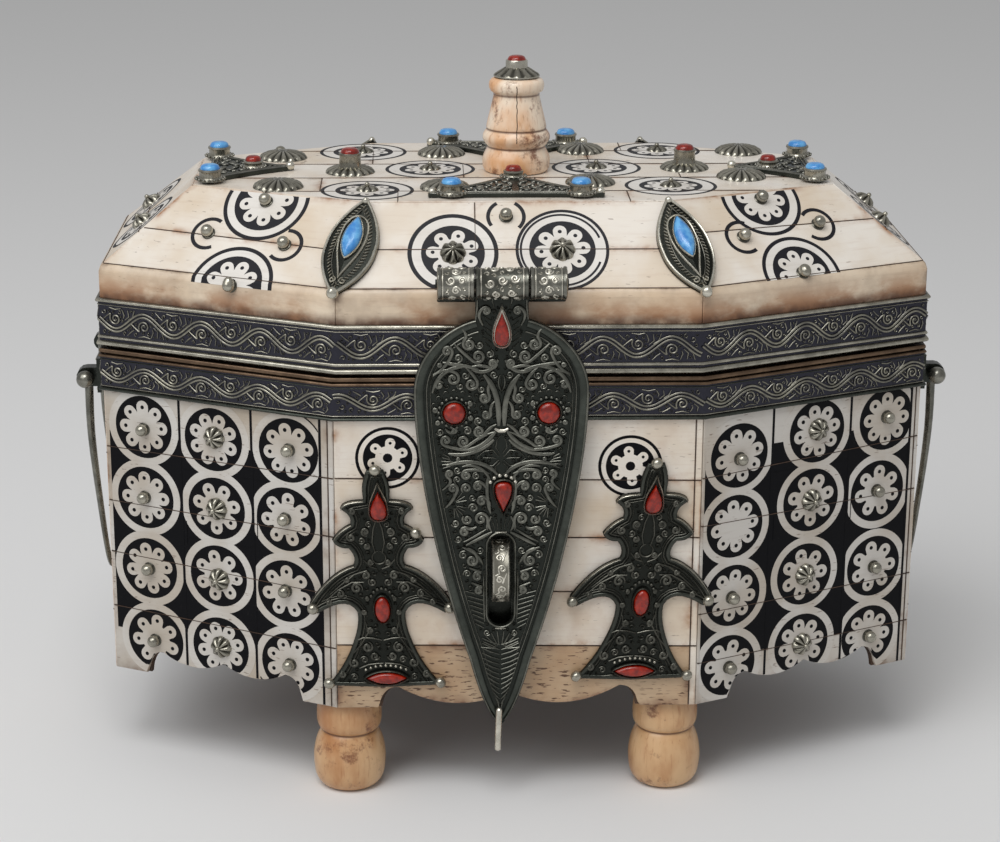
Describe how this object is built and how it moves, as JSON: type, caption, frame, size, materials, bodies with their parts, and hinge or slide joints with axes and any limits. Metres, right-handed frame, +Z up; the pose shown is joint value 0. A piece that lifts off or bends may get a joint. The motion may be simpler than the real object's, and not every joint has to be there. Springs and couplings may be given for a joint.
{
  "type": "inlaid box",
  "caption": "Eight-sided inlaid casket on turned feet, with a domed hinged lid, a drop-shaped hasp over a staple, and a hanging bail handle at each end.",
  "frame": {"origin": "on the ground under the middle of the box", "axes": "+Z up, +X along the box, -Y out of its front, where the hasp hangs"},
  "size_m": [0.3222, 0.1882, 0.2597],
  "materials": {
    "bone": "polished bone with dark inlay",
    "turned_bone": "polished, stained",
    "wood": "oiled",
    "silvered_metal": "embossed, patinated",
    "brass": "worn",
    "coral": "polished stone",
    "turquoise": "polished stone"
  },
  "bodies": {
    "base": {"back_bone_panel": "bone", "back_left_bone_panel": "bone", "back_left_foot": "turned_bone", "back_right_bone_panel": "bone", "back_right_foot": "turned_bone", "base_band": "silvered_metal", "bottom_board": "wood", "carcass": "wood", "front_bone_panel": "bone", "front_left_bone_panel": "bone", "front_left_foot": "turned_bone", "front_right_bone_panel": "bone", "front_right_foot": "turned_bone", "left_bone_panel": "bone", "left_handle_plate": "silvered_metal", "left_hinge_base_leaf": "silvered_metal", "left_hinge_pin": "silvered_metal", "left_tree_ornament": "silvered_metal", "right_bone_panel": "bone", "right_handle_plate": "silvered_metal", "right_hinge_base_leaf": "silvered_metal", "right_hinge_pin": "silvered_metal", "right_tree_ornament": "silvered_metal", "rim_strip": "brass", "staple": "silvered_metal"},
    "lid": {"back_left_marquise_mount": "silvered_metal", "back_left_turquoise": "turquoise", "back_plateau_plate": "silvered_metal", "back_right_marquise_mount": "silvered_metal", "back_right_turquoise": "turquoise", "finial": "turned_bone", "finial_cap": "silvered_metal", "finial_coral": "coral", "front_left_marquise_mount": "silvered_metal", "front_left_turquoise": "turquoise", "front_plateau_plate": "silvered_metal", "front_right_marquise_mount": "silvered_metal", "front_right_turquoise": "turquoise", "hasp_hinge": "silvered_metal", "hasp_pin": "silvered_metal", "left_hinge_lid_leaf": "silvered_metal", "left_plateau_plate": "silvered_metal", "lid_back_bone_panel": "bone", "lid_back_left_bone_panel": "bone", "lid_back_right_bone_panel": "bone", "lid_band": "silvered_metal", "lid_core": "wood", "lid_front_bone_panel": "bone", "lid_front_left_bone_panel": "bone", "lid_front_right_bone_panel": "bone", "lid_left_bone_panel": "bone", "lid_right_bone_panel": "bone", "lid_top_bone_panel": "bone", "right_hinge_lid_leaf": "silvered_metal", "right_plateau_plate": "silvered_metal"},
    "hasp": {"hasp": "silvered_metal", "hasp_coral": "coral", "hasp_wire": "silvered_metal"},
    "left_handle": {"left_handle": "silvered_metal"},
    "right_handle": {"right_handle": "silvered_metal"}
  },
  "joints": [
    {"name": "lid_hinge", "type": "hinge", "parent": "base", "child": "lid", "pos_m": [0, 0.08955, 0.16055], "axis": [-1, 0, 0], "range_deg": [0, 100]},
    {"name": "hasp_hinge", "type": "hinge", "parent": "lid", "child": "hasp", "pos_m": [-0.0063, -0.0884, 0.195], "axis": [-1, 0, 0], "range_deg": [0, 110]},
    {"name": "left_handle_hinge", "type": "hinge", "parent": "base", "child": "left_handle", "pos_m": [-0.1576, 0, 0.145], "axis": [0, 1, 0], "range_deg": [0, 150]},
    {"name": "right_handle_hinge", "type": "hinge", "parent": "base", "child": "right_handle", "pos_m": [0.1576, 0, 0.145], "axis": [0, -1, 0], "range_deg": [0, 150]}
  ]
}
